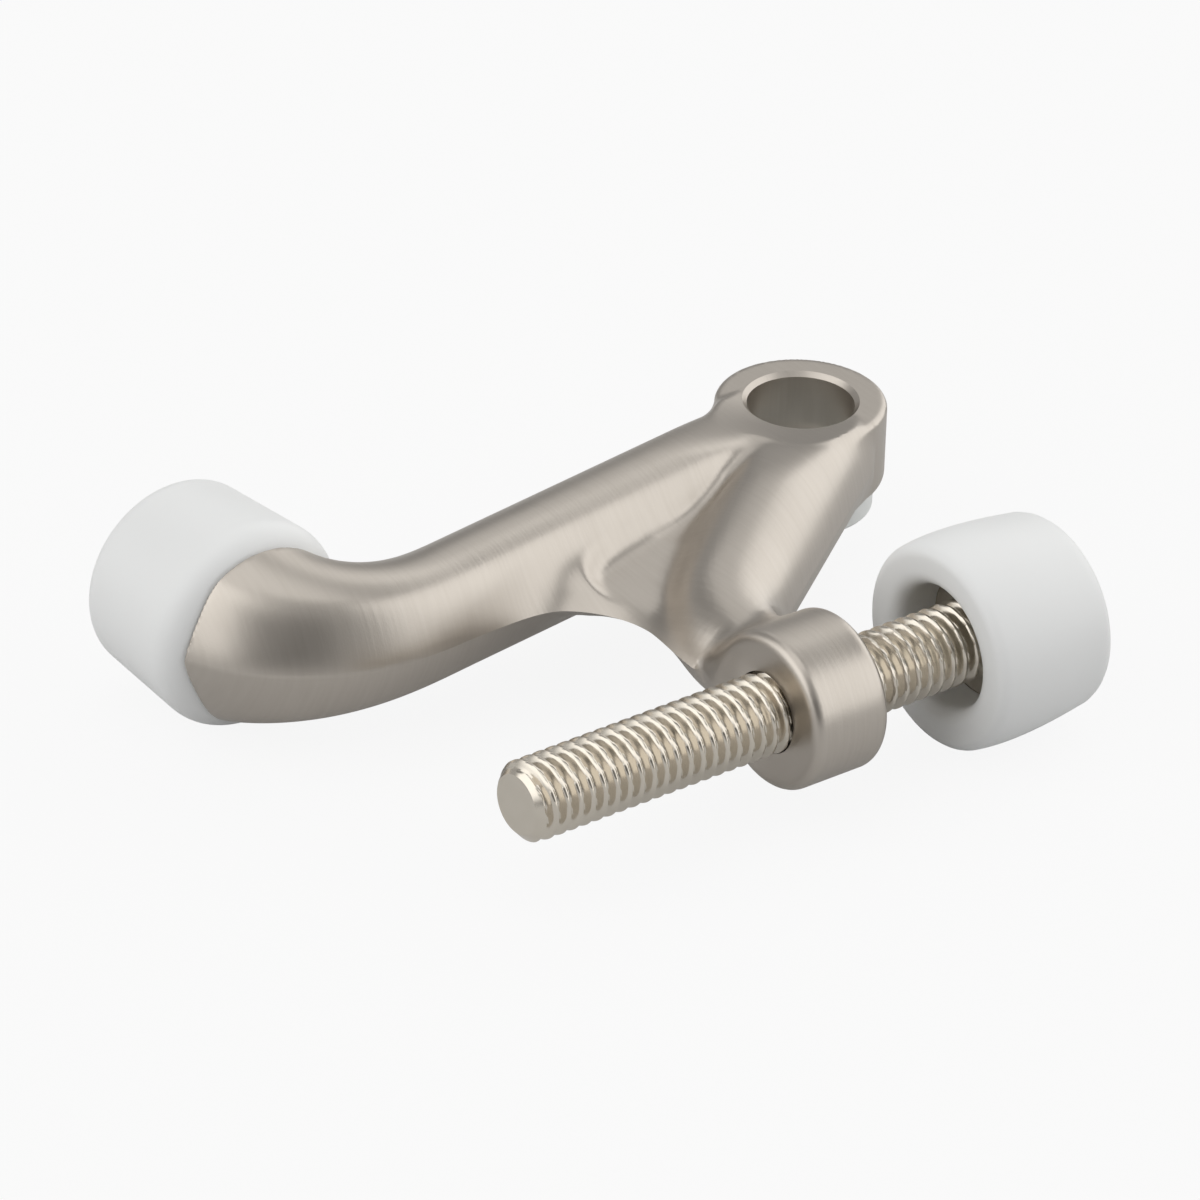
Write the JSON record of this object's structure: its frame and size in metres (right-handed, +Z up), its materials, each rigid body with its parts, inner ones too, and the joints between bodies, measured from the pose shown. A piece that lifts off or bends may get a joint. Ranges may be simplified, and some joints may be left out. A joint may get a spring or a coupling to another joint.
{
  "type": "hinge pin door stop",
  "caption": "Cast hinge pin door stop: an eye that sits on a door's hinge pin, a bent arm with a rubber bumper, and an adjusting screw that carries its own bumper.",
  "frame": {"origin": "on the hinge pin's axis, at the seat face under the bush's flange", "axes": "+Z up along the hinge pin, +X the way the screw's bumper faces, +Y the way the arm's bumper faces"},
  "size_m": [0.0832, 0.0635, 0.0209],
  "materials": {
    "satin_nickel": "fine brushed satin nickel on a zinc casting",
    "screw_nickel": "bright nickel plate on steel",
    "bumper_rubber": "smooth moulded white rubber",
    "bush_plastic": "plain white moulded plastic"
  },
  "bodies": {
    "casting": {"stop_body": "satin_nickel", "arm_bumper": "bumper_rubber", "pin_bush": "bush_plastic"},
    "screw_tip": {"screw_bumper": "bumper_rubber"},
    "screw": {"adjusting_screw": "screw_nickel"}
  },
  "joints": [
    {"name": "screw_travel", "type": "slide", "parent": "casting", "child": "screw_tip", "axis": [1, 0, 0], "range_m": [-0.0104, 0.0285]},
    {"name": "screw_turn", "type": "hinge", "parent": "screw_tip", "child": "screw", "pos_m": [-0.0298, -0.03835, 0.00675], "axis": [1, 0, 0], "range_deg": [-2700, 7400]}
  ],
  "couplings": [
    {"joint": "screw_turn", "follows": "screw_travel", "rad_per_m": 4452.6}
  ]
}
